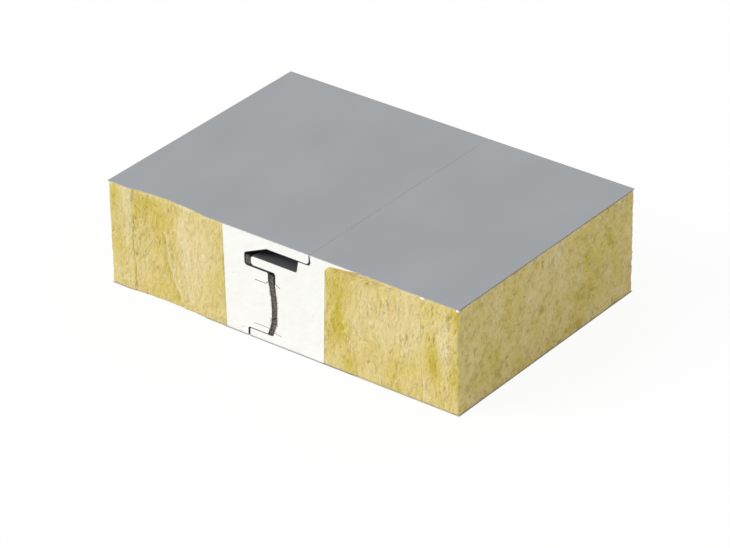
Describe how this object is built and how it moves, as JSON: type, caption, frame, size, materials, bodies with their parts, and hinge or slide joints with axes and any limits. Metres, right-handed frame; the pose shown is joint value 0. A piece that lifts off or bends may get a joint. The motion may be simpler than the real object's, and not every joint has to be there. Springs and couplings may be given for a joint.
{
  "type": "insulated sandwich panel",
  "caption": "Sawn joint sample of an insulated sandwich panel: steel facings over mineral wool, foam edges with tongue, groove, screw channel and seals.",
  "frame": {"origin": "centre of the sample's underside (inner faces), half way along the joint", "axes": "+X across the joint, from the groove panel to the tongue panel; +Y along the joint; +Z out of the outer face"},
  "size_m": [0.369, 0.25, 0.1],
  "materials": {
    "outer_paint": "silver-grey coil coating, satin, with bare steel at the saw cuts",
    "inner_paint": "light grey coil coating, satin, with bare steel at the saw cuts",
    "rigid_foam": "sawn rigid foam, warm white, fine pores",
    "mineral_wool": "yellow mineral wool, fibres upright, fuzzy saw cut",
    "seal_foam": "soft dark grey-brown foam, mottled"
  },
  "bodies": {
    "root": {"groove_panel_outer_facing": "outer_paint", "groove_panel_inner_facing": "inner_paint", "groove_panel_foam_edge": "rigid_foam", "groove_panel_wool_strip_1": "mineral_wool", "groove_panel_wool_strip_2": "mineral_wool", "tongue_panel_outer_facing": "outer_paint", "tongue_panel_inner_facing": "inner_paint", "tongue_panel_foam_edge": "rigid_foam", "tongue_panel_wool_strip_1": "mineral_wool", "tongue_panel_wool_strip_2": "mineral_wool", "edge_seal": "seal_foam", "groove_seal": "seal_foam"}
  },
  "joints": []
}
